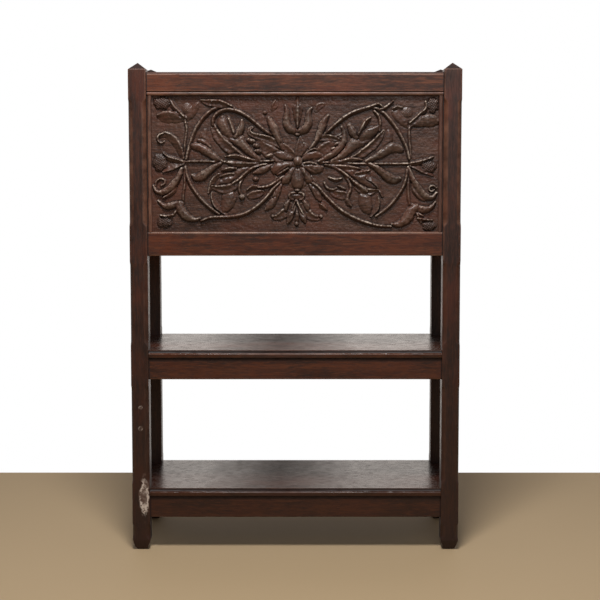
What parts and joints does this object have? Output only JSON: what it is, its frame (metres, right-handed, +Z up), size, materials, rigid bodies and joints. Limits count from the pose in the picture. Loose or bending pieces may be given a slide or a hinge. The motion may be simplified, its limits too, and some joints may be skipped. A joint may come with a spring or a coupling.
{
  "type": "magazine stand",
  "caption": "Carved oak magazine stand with square posts, a panelled trough at the top and two open shelves with moulded edges.",
  "frame": {"origin": "on the floor under the middle of the stand", "axes": "+Z up, +X to the right as seen from the carved front, +Y to the back"},
  "size_m": [0.565, 0.222, 0.84],
  "materials": {
    "post": "dark stained oak, waxed, semi-gloss",
    "rail": "dark stained oak, waxed, semi-gloss",
    "carving": "carved oak, dark stain worn lighter on the high edges",
    "board": "dark stained oak boards, polished",
    "inside": "oak boards, thinly stained, matt"
  },
  "bodies": {
    "root": {"post_front_left": "post", "post_front_right": "post", "post_back_left": "post", "post_back_right": "post", "front_top_rail": "rail", "front_bottom_rail": "rail", "back_top_rail": "rail", "back_bottom_rail": "rail", "left_top_rail": "rail", "left_bottom_rail": "rail", "right_top_rail": "rail", "right_bottom_rail": "rail", "upper_shelf_front_rail": "rail", "upper_shelf_back_rail": "rail", "upper_shelf_left_rail": "rail", "upper_shelf_right_rail": "rail", "lower_shelf_front_rail": "rail", "lower_shelf_back_rail": "rail", "lower_shelf_left_rail": "rail", "lower_shelf_right_rail": "rail", "panel_bead_left": "rail", "panel_bead_right": "rail", "carved_panel": "carving", "left_panel": "board", "right_panel": "board", "back_panel": "inside", "trough_floor": "inside", "upper_shelf": "board", "lower_shelf": "board"}
  },
  "joints": []
}
